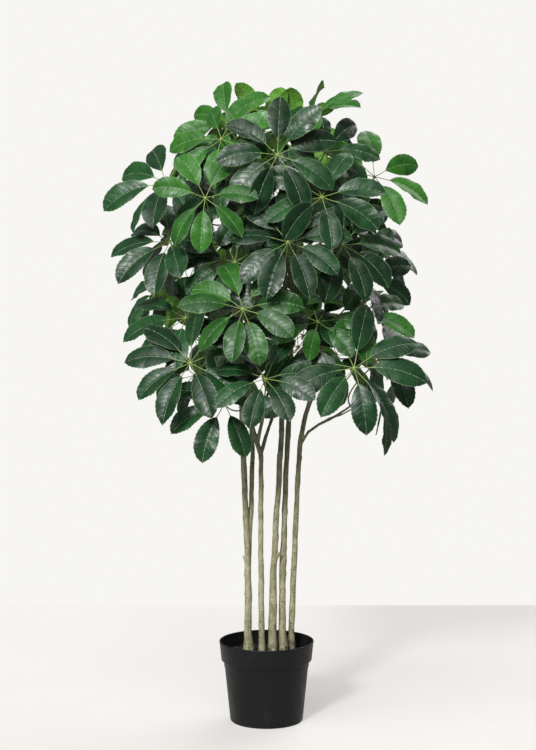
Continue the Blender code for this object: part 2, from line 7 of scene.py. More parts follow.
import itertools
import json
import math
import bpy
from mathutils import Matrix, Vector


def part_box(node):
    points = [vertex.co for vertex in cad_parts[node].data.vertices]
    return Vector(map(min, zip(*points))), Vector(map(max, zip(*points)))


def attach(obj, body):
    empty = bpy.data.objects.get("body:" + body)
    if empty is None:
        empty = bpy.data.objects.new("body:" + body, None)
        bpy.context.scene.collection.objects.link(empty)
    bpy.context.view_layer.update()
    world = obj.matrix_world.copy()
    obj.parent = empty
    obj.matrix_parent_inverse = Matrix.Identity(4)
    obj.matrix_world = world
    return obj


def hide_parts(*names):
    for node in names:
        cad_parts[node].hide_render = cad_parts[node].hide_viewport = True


bl_info = {
    "name": "Potted Umbrella Plant",
    "version": (1, 0, 0),
    "blender": (4, 5, 0),
    "location": "View3D > Sidebar > Umbrella Plant",
    "description": "Makes the leaves, stems, pot and potting mix of a tall umbrella plant, and a stage",
    "category": "Object",
}

import bmesh
import bpy
import numpy as np
from bpy.props import FloatProperty, FloatVectorProperty, IntProperty, PointerProperty
from mathutils import Euler, Vector, noise

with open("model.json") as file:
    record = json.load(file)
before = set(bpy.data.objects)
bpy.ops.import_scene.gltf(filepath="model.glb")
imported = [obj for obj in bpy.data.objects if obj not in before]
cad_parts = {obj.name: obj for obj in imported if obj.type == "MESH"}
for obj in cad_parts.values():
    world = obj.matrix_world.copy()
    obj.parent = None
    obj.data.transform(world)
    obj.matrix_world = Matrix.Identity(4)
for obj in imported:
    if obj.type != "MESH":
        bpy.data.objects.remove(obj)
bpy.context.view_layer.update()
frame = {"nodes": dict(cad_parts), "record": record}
NODES = frame["nodes"]
SLOT_OF = {part["node"]: part["material_slot"] for part in frame["record"]["subparts"]}
LEAF_NAMES = sorted(name for name in NODES if name.startswith("leaf_"))
STEM_NAMES = sorted(name for name in NODES if name.startswith("stem_"))
POT_LOW, POT_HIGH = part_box("pot")
SOIL_LOW, SOIL_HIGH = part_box("potting_mix")

# Seeds: each piece has its own draws, so it is the same on every run.
LEAF_SEED = 11
STEM_SEED = 3
MIX_SEED = 5


# ---------------------------------------------------------------- finishes


class Finish:
    """A material being made, with short calls for the nodes it needs."""

    def __init__(self, name, **sockets):
        self.material = bpy.data.materials.new(name)
        self.material.use_nodes = True
        self.tree = self.material.node_tree
        self.shader = self.tree.nodes["Principled BSDF"]
        for socket, value in sockets.items():
            self.shader.inputs[socket.replace("_", " ")].default_value = value

    def feed(self, socket, value):
        if isinstance(value, bpy.types.NodeSocket):
            self.tree.links.new(value, socket)
        elif hasattr(value, "__len__") and len(value) == 3 and len(socket.default_value) == 4:
            socket.default_value = (*value, 1)
        else:
            socket.default_value = value

    def node(self, kind, inputs=(), **settings):
        made = self.tree.nodes.new("ShaderNode" + kind)
        for key, value in settings.items():
            setattr(made, key, value)
        for socket, value in dict(inputs).items():
            self.feed(made.inputs[socket], value)
        return made

    def read(self, name):
        """A value that the mesh carries."""
        return self.node("Attribute", attribute_name=name).outputs["Fac"]

    def place(self, stretch=(1, 1, 1)):
        where = self.node("TexCoord").outputs["Object"]
        return self.node("Mapping", {"Vector": where, "Scale": stretch}).outputs["Vector"]

    def noise(self, scale, detail=2.0, rough=0.5, stretch=(1, 1, 1)):
        inputs = {"Vector": self.place(stretch), "Scale": scale, "Detail": detail, "Roughness": rough}
        return self.node("TexNoise", inputs).outputs["Fac"]

    def cells(self, scale, stretch=(1, 1, 1)):
        """Distance from the nearest of many scattered points, for specks."""
        inputs = {"Vector": self.place(stretch), "Scale": scale}
        return self.node("TexVoronoi", inputs).outputs["Distance"]

    def calc(self, operation, first, second=0.0):
        return self.node("Math", {0: first, 1: second}, operation=operation).outputs[0]

    def times(self, first, second):
        return self.calc("MULTIPLY", first, second)

    def fade(self, value, start, end, low=0.0, high=1.0):
        """Runs smoothly from low to high as the value runs from start to end."""
        inputs = {"Value": value, "From Min": start, "From Max": end, "To Min": low, "To Max": high}
        return self.node("MapRange", inputs, interpolation_type="SMOOTHSTEP").outputs["Result"]

    def blend(self, factor, first, second):
        inputs = {0: factor, 6: first, 7: second}
        return self.node("Mix", inputs, data_type="RGBA").outputs[2]

    def bump(self, height, depth, strength=1.0, under=None):
        inputs = {"Height": height, "Distance": depth, "Strength": strength}
        if under:
            inputs["Normal"] = under
        return self.node("Bump", inputs).outputs["Normal"]

    def finish(self, **sockets):
        for socket, value in sockets.items():
            self.feed(self.shader.inputs[socket.replace("_", " ")], value)
        return self.material


def shaded(colour, share):
    """The same colour with only a share of its light."""
    return [c * share for c in colour]


def leaf_upper(name, deep, fresh, rib, roughness):
    """The waxy upper side of a leaflet, with sunk veins, painted shade along them and a pale broken midrib.
    """
    finish = Finish(name, Specular_IOR_Level=0.28)
    from_vein = finish.calc("PINGPONG", finish.read("vein"), 0.5)
    vein = finish.fade(from_vein, 0.13, 0.0)
    midrib = finish.fade(finish.read("out"), 0.70, 0.15)
    dashes = finish.fade(finish.noise(430, 1.0), 0.46, 0.56)
    edge = finish.fade(finish.calc("ABSOLUTE", finish.read("across")), 0.90, 1.0)
    cloud = finish.noise(26, 3.0, 0.6)
    tint = finish.times(finish.read("tint"), 0.70)
    tone = finish.calc("ADD", finish.fade(cloud, 0.2, 0.8, -0.15, 0.42), tint)
    colour = finish.blend(finish.fade(tone, 0.05, 0.95), deep, fresh)
    patch = finish.fade(finish.noise(70, 4.0, 0.7), 0.42, 0.75)
    colour = finish.blend(finish.times(patch, 0.28), colour, fresh)
    # Painted shade: the blade is darkened along its sunk side veins.
    trough_shade = finish.fade(from_vein, 0.22, 0.03, 0.0, 0.22)
    colour = finish.blend(trough_shade, colour, shaded(deep, 0.45))
    colour = finish.blend(finish.times(vein, 0.06), colour, fresh)
    colour = finish.blend(finish.times(edge, 0.22), colour, rib)
    rib_shown = finish.times(midrib, finish.fade(dashes, 0.0, 1.0, 0.08, 0.90))
    colour = finish.blend(rib_shown, colour, rib)
    grain = finish.noise(900, 2.0)
    height = finish.calc("SUBTRACT", finish.times(grain, 0.22), finish.times(vein, 0.35))
    height = finish.calc("SUBTRACT", height, finish.times(midrib, 0.7))
    rough = finish.fade(finish.noise(55, 3.0), 0.25, 0.75, roughness, roughness + 0.16)
    return finish.finish(Base_Color=colour, Roughness=rough, Normal=finish.bump(height, 0.0006))


def leaf_under(name, deep, fresh, rib):
    """The duller and paler underside, with its veins standing proud, its colours painted brighter still for
    light shining through the leaf.
    """
    finish = Finish(name, Specular_IOR_Level=0.35)
    vein = finish.fade(finish.calc("PINGPONG", finish.read("vein"), 0.5), 0.14, 0.0)
    tint = finish.times(finish.read("tint"), 0.5)
    tone = finish.calc("ADD", finish.times(finish.noise(30, 3.0), 0.6), tint)
    colour = finish.blend(finish.fade(tone, 0.15, 0.95), deep, fresh)
    colour = finish.blend(finish.times(vein, 0.5), colour, rib)
    colour = finish.blend(finish.fade(finish.read("out"), 1.5, 0.5, 0.0, 0.75), colour, rib)
    height = finish.calc("ADD", finish.times(finish.noise(700, 2.0), 0.3), vein)
    rough = finish.fade(finish.noise(60, 2.0), 0.3, 0.7, 0.56, 0.70)
    return finish.finish(Base_Color=colour, Roughness=rough, Normal=finish.bump(height, 0.0004))


def leaf_stalks(name, pale, ripe):
    """Leafstalks: olive brown by the bough, fresher and paler towards the leaflets."""
    finish = Finish(name, Specular_IOR_Level=0.4)
    streaks = finish.noise(160, 3.0, 0.6, (1, 1, 0.25))
    age = finish.calc("ADD", finish.read("across"), finish.times(finish.calc("SUBTRACT", streaks, 0.5), 0.5))
    colour = finish.blend(finish.fade(age, 0.0, 1.0), pale, ripe)
    specks = finish.fade(finish.cells(420), 0.22, 0.08, 0.0, 0.5)
    colour = finish.blend(specks, colour, shaded(ripe, 0.4))
    rough = finish.fade(streaks, 0.3, 0.7, 0.42, 0.58)
    return finish.finish(Base_Color=colour, Roughness=rough, Normal=finish.bump(streaks, 0.0004, 0.6))


def bark(look):
    """Olive-grey bark: mottled, fissured, specked with dark pores, darker at its scars and by the mix."""
    finish = Finish("stem_bark", Specular_IOR_Level=0.3)
    light, middle, dark = tuple(look.light), tuple(look.middle), tuple(look.dark)
    blotch = finish.noise(74, 5.0, 0.62, (1, 1, 0.55))
    colour = finish.blend(finish.fade(blotch, 0.36, 0.64), middle, light)
    shade = finish.noise(150, 4.0, 0.7, (1, 1, 0.35))
    colour = finish.blend(finish.fade(shade, 0.56, 0.74, 0.0, 0.85), colour, dark)
    height = finish.node("SeparateXYZ", {"Vector": finish.place()}).outputs["Z"]
    high = finish.fade(height, 0.42, 0.80)
    colour = finish.blend(finish.times(high, 0.72), colour, tuple(look.upper))
    pores = finish.fade(finish.cells(270, (1, 1, 0.70)), 0.30, 0.15)
    sparse = finish.fade(finish.noise(120, 2.0), 0.42, 0.54)
    pores = finish.times(pores, sparse)
    spots = finish.fade(finish.cells(120, (1, 1, 0.75)), 0.21, 0.10)
    pores = finish.calc("MAXIMUM", pores, spots)
    colour = finish.blend(finish.times(pores, 0.85), colour, shaded(dark, 0.30))
    lines = finish.noise(420, 3.0, 0.6, (1, 1, 0.13))
    colour = finish.blend(finish.fade(lines, 0.55, 0.70, 0.0, 0.45), colour, dark)
    stain = finish.fade(height, SOIL_HIGH.z + 0.035, SOIL_HIGH.z)
    stain = finish.times(stain, finish.fade(finish.noise(130, 4.0, 0.65), 0.42, 0.60))
    colour = finish.blend(finish.times(stain, 0.9), colour, shaded(dark, 0.28))
    scar = finish.read("scar")
    colour = finish.blend(finish.times(scar, shade), colour, shaded(dark, 0.45))
    rise = finish.calc("ADD", finish.times(lines, -0.8), finish.times(shade, -0.7))
    rise = finish.calc("SUBTRACT", rise, finish.times(pores, 0.8))
    rough = finish.fade(blotch, 0.3, 0.7, 0.78, 0.62)
    return finish.finish(Base_Color=colour, Roughness=rough, Normal=finish.bump(rise, 0.0011, 0.9))


def moulded_plastic(look):
    """Matte black plastic with a faint moulded grain, scuffs and patches of dust."""
    finish = Finish("pot_plastic", Specular_IOR_Level=0.17)
    colour = tuple(look.colour)
    grain = finish.noise(2600, 2.0, 0.6)
    wear = finish.noise(38, 5.0, 0.65, (1, 1, 0.5))
    dust = finish.fade(wear, 0.52, 0.78, 0.0, 0.55)
    shown = finish.blend(dust, colour, [c * 2.1 + 0.003 for c in colour])
    scuffs = finish.fade(finish.noise(210, 4.0, 0.75, (1, 1, 0.16)), 0.64, 0.75, 0.0, 0.4)
    shown = finish.blend(scuffs, shown, [c * 3.0 + 0.006 for c in colour])
    rough = finish.fade(wear, 0.3, 0.8, look.roughness, look.roughness + 0.18)
    broad = finish.bump(finish.noise(24, 2.0), 0.0012, 0.5)
    return finish.finish(Base_Color=shown, Roughness=rough, Normal=finish.bump(grain, 0.00012, 0.7, broad))


def crumbly_mix(look):
    """Dark potting mix, each crumb a little different."""
    finish = Finish("potting_mix", Specular_IOR_Level=0.25)
    dark, chip = tuple(look.dark), tuple(look.chip)
    tone = finish.calc("ADD", finish.read("tint"), finish.times(finish.noise(240, 4.0), 0.5))
    colour = finish.blend(finish.fade(tone, 0.45, 1.4), dark, chip)
    specks = finish.fade(finish.noise(900, 3.0), 0.58, 0.7, 0.0, 0.7)
    colour = finish.blend(specks, colour, shaded(dark, 0.4))
    rough = finish.fade(tone, 0.3, 1.2, 0.96, 0.78)
    grit = finish.noise(700, 5.0, 0.7)
    return finish.finish(Base_Color=colour, Roughness=rough, Normal=finish.bump(grit, 0.0012, 0.9))


# ---------------------------------------------------------------- mesh tools


class Skin:
    """Points and faces of one piece, with the values its finish reads."""

    CHANNELS = ("across", "out", "vein", "tint")

    def __init__(self):
        self.points, self.values = [], []
        self.faces, self.slots, self.uvs = [], [], []
        self.count = 0

    def put(self, points, **values):
        points = np.asarray(points, float)
        shape = points.shape[:-1]
        points = points.reshape(-1, 3)
        row = np.zeros((len(points), len(self.CHANNELS)))
        for name, value in values.items():
            row[:, self.CHANNELS.index(name)] = np.broadcast_to(value, shape).reshape(-1)
        first = self.count
        self.count += len(points)
        self.points.append(points)
        self.values.append(row)
        return (first + np.arange(len(points))).reshape(shape)

    def cover(self, grid, slot, cell=(0, 0, 1, 1), flip=False):
        """Quads over a grid of points.

        cell is the part of the flat map that they take: left, bottom, width and height.
        """
        rows, columns = grid.shape
        u, v = np.meshgrid(np.linspace(0, 1, columns), np.linspace(0, 1, rows))
        flat = np.stack([cell[0] + u * cell[2], cell[1] + v * cell[3]], -1)
        order = [(0, 0), (0, 1), (1, 1), (1, 0)]
        if flip:
            order.reverse()

        def corners(table):
            return np.stack([table[i : rows - 1 + i, j : columns - 1 + j] for i, j in order], 2)

        self.faces += corners(grid).reshape(-1, 4).tolist()
        self.uvs.append(corners(flat).reshape(-1, 2))
        self.slots += [slot] * ((rows - 1) * (columns - 1))

    def cap(self, ring, slot, cell=(0, 0, 1, 1)):
        turn = np.linspace(0, 2 * math.pi, len(ring), endpoint=False)
        flat = np.stack([np.cos(turn), np.sin(turn)], 1) * 0.5 + 0.5
        self.faces.append(list(map(int, ring)))
        self.uvs.append(flat * [cell[2], cell[3]] + [cell[0], cell[1]])
        self.slots.append(slot)

    def tube(self, path, radii, sides, slot, cell, **values):
        """A closed round tube along a path of points."""
        path = np.asarray(path, float)
        along = np.gradient(path, axis=0)
        along /= np.linalg.norm(along, axis=1)[:, None]
        side = np.cross(along[0], [0.31, 0.83, 0.46])
        sides_of = []
        for way in along:
            side = side - way * side.dot(way)
            side /= np.linalg.norm(side)
            sides_of.append(side)
        first = np.array(sides_of)
        second = np.cross(along, first)
        turn = np.linspace(0, 2 * math.pi, sides, endpoint=False)
        rings = np.cos(turn)[None, :, None] * first[:, None] + np.sin(turn)[None, :, None] * second[:, None]
        radii = np.broadcast_to(radii, len(path))
        for name, value in values.items():
            if np.ndim(value):
                values[name] = np.asarray(value)[:, None]
        grid = self.put(path[:, None] + rings * radii[:, None, None], **values)
        self.cover(np.concatenate([grid, grid[:, :1]], 1), slot, cell)
        self.cap(grid[0][::-1], slot, cell)
        self.cap(grid[-1], slot, cell)

    def make(self, name, materials, sharp=50):
        data = bpy.data.meshes.new(name)
        data.from_pydata(np.concatenate(self.points).tolist(), [], self.faces)
        flat = data.uv_layers.new(name="OFBake")
        flat.data.foreach_set("uv", np.concatenate(self.uvs).astype(np.float32).ravel())
        data.polygons.foreach_set("material_index", self.slots)
        values = np.concatenate(self.values).astype(np.float32)
        for i, channel in enumerate(self.CHANNELS):
            data.attributes.new(channel, "FLOAT", "POINT").data.foreach_set("value", values[:, i].copy())
        for material in materials:
            data.materials.append(material)
        data.update()
        data.shade_smooth()
        data.set_sharp_from_angle(angle=math.radians(sharp))
        return add_piece(name, data)


def add_piece(name, data):
    piece = bpy.data.objects.new(name, data)
    bpy.context.scene.collection.objects.link(piece)
    return piece


def settle(piece, node):
    """The piece rides on the plant and stands for its solid."""
    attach(piece, "root")
    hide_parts(node)


def apply_modifiers(piece):
    made = piece.evaluated_get(bpy.context.evaluated_depsgraph_get())
    data = bpy.data.meshes.new_from_object(made)
    old = piece.data
    piece.modifiers.clear()
    piece.data = data
    bpy.data.meshes.remove(old)


def lumps(points, scale, seed=0.0, stretch=(1, 1, 1)):
    """Smooth noise at each point, from -1 to 1."""
    where = np.asarray(points) * np.asarray(stretch) * scale + seed
    return np.array([noise.noise(p) for p in where.tolist()])


def unit(v):
    return v / np.linalg.norm(v, axis=-1, keepdims=True)


# ---------------------------------------------------------------- leaves


class Star:
    """The places of one leaf's hub, leafstalk and leaflets, read from its plain solid."""

    def __init__(self, node):
        shape = bmesh.new()
        shape.from_mesh(node.data)
        bmesh.ops.remove_doubles(shape, verts=shape.verts, dist=1e-5)
        near = {v: {e.other_vert(v) for e in v.link_edges} for v in shape.verts}
        self.leaflets = []
        hubs = []
        used = set()
        for tip in shape.verts:
            rings = self.rings_from(tip, near)
            if rings:
                self.leaflets.append(([self.section(ring) for ring in rings[2::-1]], np.array(tip.co)))
                hubs += rings[3]
                used |= {tip, *itertools.chain(*rings)}
        lower = [v for v in set(hubs) if hubs.count(v) == 1]
        upper = [v for v in set(hubs) if hubs.count(v) == 2]
        if not len(lower) == len(upper) == len(self.leaflets) > 4:
            raise RuntimeError(f"{node.name}: its leaflets can't be told apart")
        back, top = self.middle(lower), self.middle(upper)
        self.hub, self.axis = (back + top) / 2, unit(top - back)
        centres = [back]
        ring = set(lower)
        while ring := set(itertools.chain(*(near[v] for v in ring))) - used:
            centres.append(self.middle(ring))
            used |= ring
        shape.free()
        if len(centres) != 4:
            raise RuntimeError(f"{node.name}: its leafstalk has {len(centres)} rings")
        self.stalk = centres[::-1]

    @staticmethod
    def middle(verts):
        return np.mean([v.co for v in verts], axis=0)

    @staticmethod
    def rings_from(tip, near):
        """The three-sided rings met on the way from a leaflet's tip down to the hub."""
        ring, seen, rings = {tip}, {tip}, []
        while len(rings) < 4:
            ring = set(itertools.chain(*(near[v] for v in ring))) - seen
            seen |= ring
            rings.append(sorted(ring, key=lambda v: v.index))
            if len(ring) != 3:
                return None
        return rings

    @staticmethod
    def section(ring):
        """Middle, sideways direction, face direction and half width where a leaflet is cut across."""
        spots = [np.array(v.co) for v in ring]
        pairs = [(0, 1, 2), (1, 2, 0), (2, 0, 1)]
        a, b, c = max(pairs, key=lambda p: np.linalg.norm(spots[p[0]] - spots[p[1]]))
        middle, across = (spots[a] + spots[b]) / 2, spots[b] - spots[a]
        return middle, unit(across), unit(middle - spots[c]), np.linalg.norm(across) / 2

    def leafstalk(self, steps):
        """Points along the leafstalk's curve, which passes through the four rings."""
        a, b, c, d = self.stalk
        first = (-5 * a + 18 * b - 9 * c + 2 * d) / 6
        second = (2 * a - 9 * b + 18 * c - 5 * d) / 6
        t = np.linspace(0, 1, steps)[:, None]
        path = (1 - t) ** 3 * a + 3 * (1 - t) ** 2 * t * first + 3 * (1 - t) * t**2 * second + t**3 * d
        return path, unit(first - a)


# Where a plain leaflet is cut across, along its length, and the lines of points across a dressed one.
STATIONS = np.array([0.0, 0.42, 0.80, 1.0])
COLUMNS = np.array([-1, -0.8, -0.5, -0.22, 0, 0.22, 0.5, 0.8, 1])
MIDDLE_SHARE = 0.92  # a plain leaflet's half width at its second cut, as a share of its planned one
HUB_RADIUS = 0.0037
HUB_HEIGHT = 0.0032


def through(stations, t):
    """The smooth curve through values given at the stations."""
    total = 0
    for i, here in enumerate(STATIONS):
        others = np.delete(STATIONS, i)
        total = total + np.prod([(t - o) / (here - o) for o in others], axis=0)[:, None] * stations[i]
    return total


def outline(t, fullest):
    """Half width of a leaflet along its length, as a share of the widest.

    It has a wedge-shaped foot, a full shoulder and a small point.
    """
    low = np.clip(1 - np.clip((fullest - t) / fullest, 0, 1) ** 2.1, 0, 1) ** 0.82
    u = np.clip((t - fullest) / (0.978 - fullest), 0, 1)
    high = np.clip(1 - u**2, 0, 1) ** 0.76
    point = 0.10 * np.clip((1 - t) / 0.045, 0, 1)
    return np.where(t < fullest, low, np.maximum(high, point)) * 0.98


def add_leaflet(skin, star, leaflet, look, random, cells, tone_and_top_light):
    """One leaflet: t runs along it from foot to tip, and e across it from edge to edge."""
    sections, tip = leaflet
    middles = np.array([s[0] for s in sections])
    half = sections[1][3] / MIDDLE_SHARE * look.breadth
    spots = np.array([*middles, tip])
    length = np.linalg.norm(np.diff(spots, axis=0), axis=1).sum()
    rows = 3 * look.teeth + 1
    t = np.linspace(0, 1, rows)
    centre = through(spots, t)
    heading = unit(np.gradient(centre, axis=0))
    face = np.array([s[2] for s in sections])
    side = np.array([s[1] for s in sections])
    forward = unit(tip - middles[0])
    side *= np.sign(np.cross(face, side) @ forward)[:, None]
    side = through(np.array([*side, side[2]]), t)
    side = unit(side - heading * np.einsum("ij,ij->i", side, heading)[:, None])
    face = np.cross(side, heading)

    roll = math.radians(look.roll) * np.clip(random.normal(0, 0.5), -1, 1)
    side, face = side * math.cos(roll) + face * math.sin(roll), face * math.cos(roll) - side * math.sin(roll)
    fold = math.radians(look.fold) * random.uniform(0.45, 1.6)
    phase = random.uniform(0, 2 * math.pi, 4)
    tint = random.uniform(0, 0.75) + tone_and_top_light
    e = COLUMNS[None, :]
    width = half * outline(t, random.uniform(0.54, 0.61))[:, None]
    width = np.maximum(width, np.interp(t, [0, 0.9, 1], [0.0011, 0.0009, 0.0002])[:, None])
    toothed = np.interp(t, [0.08, 0.22, 0.93, 0.99], [0, 1, 1, 0])
    tooth = np.resize([0.0, 0.45, 1.0], rows) * look.tooth * toothed
    x = e * width
    x[:, 0] -= tooth
    x[:, -1] += tooth
    flank = np.abs(x) / half
    height = half * (math.tan(fold) * flank - look.arch * (flank**2))
    waves = 0.6 * np.sin(2 * math.pi * 2.1 * t[:, None] + np.where(e < 0, phase[0], phase[1]))
    waves += 0.4 * np.sin(2 * math.pi * 3.7 * t[:, None] + np.where(e < 0, phase[2], phase[3]))
    height += look.wave * waves * flank**1.6 * np.interp(t, [0, 0.25, 0.9, 1], [0, 1, 1, 0.3])[:, None]
    vein = t[:, None] * look.veins - 0.60 * np.abs(x) / length * look.veins
    vein += 0.20 * np.sin(t[:, None] * 11 + np.where(e < 0, phase[1], phase[3]))
    puff = np.abs(np.sin(math.pi * vein)) ** 0.7
    height += look.puff * puff * np.sqrt(np.clip(1 - np.abs(e), 0, 1)) * np.minimum(1, width / half)
    reach = 0.35 * tooth[:, None] * (np.abs(e) == 1)
    top = centre[:, None] + side[:, None] * x[..., None] + face[:, None] * height[..., None]
    top += heading[:, None] * reach[..., None]
    thick = look.thickness * np.sqrt(1 - e**2) * np.clip(np.minimum(t, 1 - t)[:, None] / 0.03, 0, 1)
    values = {"across": e, "out": np.abs(x) * 1000, "vein": vein, "tint": tint}
    upper = skin.put(top, **values)
    lower = upper.copy()
    inner = (slice(1, -1), slice(1, -1))
    under = top - face[:, None] * thick[..., None]
    inner_values = {channel: np.broadcast_to(value, x.shape)[inner] for channel, value in values.items()}
    lower[inner] = skin.put(under[inner], **inner_values)
    skin.cover(upper, 0, cells[0])
    skin.cover(lower, 1, cells[1], flip=True)
    add_leaflet_stalk(skin, star, centre, face, look, random, cells[2], tint)


def add_leaflet_stalk(skin, star, centre, face, look, random, cell, tint):
    """The leaflet's own stalk, from the hub to its foot, which runs on under the blade as its midrib."""
    steps = 9
    s = np.linspace(0, 1, steps)[:, None]
    stalk = star.hub * (1 - s) + centre[0] * s
    stalk_length = np.linalg.norm(centre[0] - star.hub)
    stalk -= star.axis * np.sin(s * math.pi) * 0.05 * stalk_length * random.uniform(-0.2, 1.0)
    keep = np.arange(3, int(len(centre) * 0.93), 3)
    t = np.linspace(0, 1, len(centre))[keep]
    under_rib = centre[keep] - face[keep] * (0.0004 + 0.0003 * (1 - t))[:, None]
    path = np.concatenate([stalk, under_rib])
    stalk_radii = np.interp(s[:, 0], [0, 0.12, 0.85, 1], [1.5, 1.0, 0.85, 1.15])
    radii = np.concatenate([stalk_radii, np.interp(t, [0, 1], [0.95, 0.22])])
    age = np.concatenate([np.full(steps, 0.10), np.zeros(len(keep))]) + 0.25 * random.uniform()
    skin.tube(path, radii * look.stalk / 2000, 6, 2, cell, across=age, tint=tint)


def add_leafstalk(skin, star, look, random):
    """The leafstalk, from inside the bough to the back of the hub, with a swollen foot."""
    path, out = star.leafstalk(16)
    inside = [path[0] - out * 0.0065, path[0] - out * 0.003]
    path = np.concatenate([inside, path, [star.hub + star.axis * 0.001]])
    share = np.linspace(0, 1, len(path))
    swelling = np.interp(share, [0, 0.08, 0.16, 0.35, 0.88, 1], [1.75, 1.55, 1.15, 1.0, 1.05, 1.5])
    path += 0.0006 * np.sin(share * 9 + random.uniform(0, 6))[:, None] * star.axis
    age = np.interp(share, [0, 0.5, 1], [1.0, 0.62, 0.2])
    skin.tube(path, swelling * look.leafstalk / 2000, 8, 2, (0.01, 0.035, 0.98, 0.025), across=age)


def add_hub(skin, star):
    """A small knuckle where the leaflets' stalks meet."""
    across = unit(np.cross(star.axis, [0.31, 0.83, 0.46]))
    rings = [(0.55, -0.9), (0.95, -0.45), (1.05, 0.1), (0.8, 0.6), (0.4, 0.85)]
    turn = np.linspace(0, 2 * math.pi, 12, endpoint=False)
    round_ = np.cos(turn)[:, None] * across + np.sin(turn)[:, None] * np.cross(star.axis, across)
    grid = np.array([star.hub + round_ * r * HUB_RADIUS + star.axis * h * HUB_HEIGHT for r, h in rings])
    grid += star.axis * 0.0004 * np.sin(turn * len(star.leaflets))[None, :, None]
    grid = skin.put(grid, across=0.12, tint=0.5)
    cell = (0.01, 0.005, 0.98, 0.025)
    skin.cover(np.concatenate([grid, grid[:, :1]], 1), 2, cell)
    skin.cap(grid[0][::-1], 2, cell)
    skin.cap(grid[-1], 2, cell)


def add_leaf(name, look, materials):
    star = Star(NODES[name])
    random = np.random.default_rng(LEAF_NAMES.index(name) + LEAF_SEED)
    skin = Skin()
    step = 1 / len(star.leaflets)
    # Painted light: a young leaf is painted lighter the higher its hub stands, as if the top of the crown
    # were lit more. A mature leaf's tone is random.
    if SLOT_OF[name] == "leaf_bright":
        tone_and_top_light = np.interp(star.hub[2], [0.85, 1.35], [-0.2, 0.35])
    else:
        tone_and_top_light = random.uniform(-0.2, 0.15)
    for i, leaflet in enumerate(star.leaflets):
        left, wide = (i + 0.03) * step, 0.94 * step
        cells = [(left, 0.56, wide, 0.43), (left, 0.12, wide, 0.42), (left, 0.065, wide, 0.045)]
        add_leaflet(skin, star, leaflet, look, random, cells, tone_and_top_light)
    add_leafstalk(skin, star, look, random)
    add_hub(skin, star)
    settle(skin.make(name + "_grown", materials), name)


# ---------------------------------------------------------------- stems


def smooth(points, edges, rounds):
    """Evens out the facets with hardly any shrinking of the stem."""
    a, b = edges.T
    degree = np.bincount(edges.ravel(), minlength=len(points))[:, None]
    for _ in range(rounds):
        for push in (0.55, -0.57):
            total = np.zeros_like(points)
            for axis in range(3):
                total[:, axis] += np.bincount(a, points[b, axis], len(points))
                total[:, axis] += np.bincount(b, points[a, axis], len(points))
            points = points + push * (total / degree - points)
    return points


def add_stem(name, look, material):
    data = NODES[name].data.copy()
    piece = add_piece(name + "_bark", data)
    remesh = piece.modifiers.new("Even skin", "REMESH")
    remesh.mode = "VOXEL"
    remesh.voxel_size = look.skin
    apply_modifiers(piece)
    data = piece.data
    points = np.empty(len(data.vertices) * 3, np.float32)
    data.vertices.foreach_get("co", points)
    edges = np.empty(len(data.edges) * 2, np.int32)
    data.edges.foreach_get("vertices", edges)
    points = smooth(points.reshape(-1, 3).astype(float), edges.reshape(-1, 2), look.smoothing)
    data.vertices.foreach_set("co", points.astype(np.float32).ravel())
    data.update()
    normals = np.empty(len(points) * 3, np.float32)
    data.vertices.foreach_get("normal", normals)
    normals = normals.reshape(-1, 3).astype(float)
    seed = STEM_NAMES.index(name) * 7.3
    random = np.random.default_rng(STEM_NAMES.index(name) + STEM_SEED)
    rise = 0.0003 + look.lump * lumps(points, 34, seed, (1, 1, 0.8))
    rise += look.ripple * lumps(points, 130, seed, (1, 1, 0.5))
    rise += look.ripple * 0.6 * lumps(points, 330, seed, (1, 1, 0.3))
    scar = np.zeros(len(points))
    height = 0.19 + random.uniform(0, 0.05)
    while height < points[:, 2].max() - 0.02:
        ring = np.flatnonzero(np.abs(points[:, 2] - height) < 0.003)
        if len(ring):
            spot = points[random.choice(ring)]
            away = points - spot
            level = away[:, 2] + 0.35 * away[:, 0] * random.uniform(-1, 1)
            flat = np.hypot(away[:, 0], away[:, 1])
            size = random.uniform(0.6, 1.25)
            near = np.exp(-((flat / (0.0055 * size)) ** 2))
            rise += look.knot * size * near * np.exp(-((level / (0.0060 * size)) ** 2))
            rise -= look.knot * 0.35 * near * np.exp(-(((level - 0.0052 * size) / 0.0016) ** 2))
            scar = np.maximum(scar, near**2 * np.exp(-(((level - 0.0052 * size) / 0.0015) ** 2)))
        height += random.uniform(0.030, 0.085)
    foot = np.interp(points[:, 2], [SOIL_HIGH.z, SOIL_HIGH.z + 0.035], [1, 0])
    rise += foot * look.foot * (1 + 0.9 * lumps(points, 90, seed))
    for axis in (0, 1):
        levels = points[:, 2:] * [0, 0, 1] + [axis * 5.0, seed, 0]
        points[:, axis] += look.sway * (1 - foot) * (lumps(levels, 13) + 0.5 * lumps(levels, 37))
    points += normals * rise[:, None]
    data.vertices.foreach_set("co", points.astype(np.float32).ravel())
    data.attributes.new("scar", "FLOAT", "POINT").data.foreach_set("value", scar.astype(np.float32))
    data.materials.clear()
    data.materials.append(material)
    data.update()
    data.shade_smooth()
    settle(piece, name)


# ---------------------------------------------------------------- pot and mix


def turned(skin, profile, sides, slot=0, **values):
    """A closed turned solid from a profile of (radius, height) that starts and ends on the axis."""
    turn = np.linspace(0, 2 * math.pi, sides, endpoint=False)
    rings = [[(r * math.cos(a), r * math.sin(a), z) for a in turn] for r, z in profile[1:-1]]
    grid = skin.put(np.array(rings), **values)
    skin.cover(np.concatenate([grid, grid[:, :1]], 1), slot, flip=True)
    ends = skin.put(np.array([(0, 0, profile[0][1]), (0, 0, profile[-1][1])]), **values)
    for end, ring in ((ends[0], grid[0]), (ends[1], grid[-1][::-1])):
        fan = [[int(end), int(a), int(b)] for a, b in zip(ring, np.roll(ring, -1))]
        skin.faces += fan
        skin.uvs.append(np.zeros((3 * len(fan), 2)))
        skin.slots += [slot] * len(fan)


